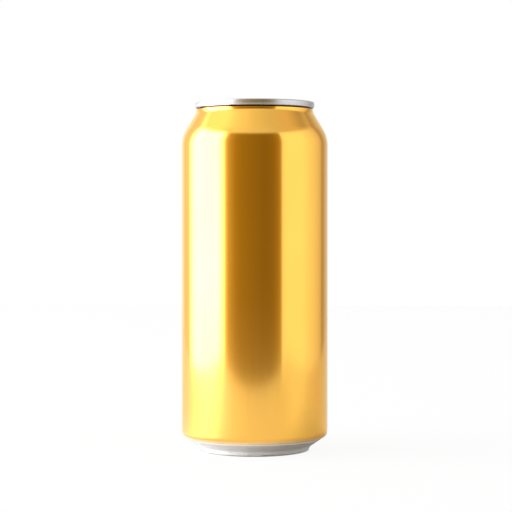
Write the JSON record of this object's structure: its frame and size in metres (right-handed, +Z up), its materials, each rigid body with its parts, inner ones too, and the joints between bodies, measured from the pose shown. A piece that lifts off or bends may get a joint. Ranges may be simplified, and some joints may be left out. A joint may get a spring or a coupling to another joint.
{
  "type": "beer can",
  "caption": "Tall drinks can with a necked shoulder, tapered base with a domed underside, double-seamed end, scored tear panel and riveted pull tab.",
  "frame": {"origin": "centre of the standing ring, on the plane the can stands on", "axes": "+Z up the can's axis; the tear panel is towards -Y and the pull tab's heel towards +Y"},
  "size_m": [0.0662, 0.0662, 0.1572],
  "materials": {
    "gold_lacquer": "clear gold-tinted lacquer over smooth drawn aluminium, glossy",
    "bare_aluminium": "bare drawn aluminium with fine rings, on the chime, standing ring and dome",
    "end_aluminium": "clear-coated rolled sheet with a fine straight grain",
    "tab_aluminium": "bright rolled sheet with curled edges"
  },
  "bodies": {
    "root": {"can_body": "gold_lacquer", "can_end": "end_aluminium", "pull_tab": "tab_aluminium"}
  },
  "joints": []
}
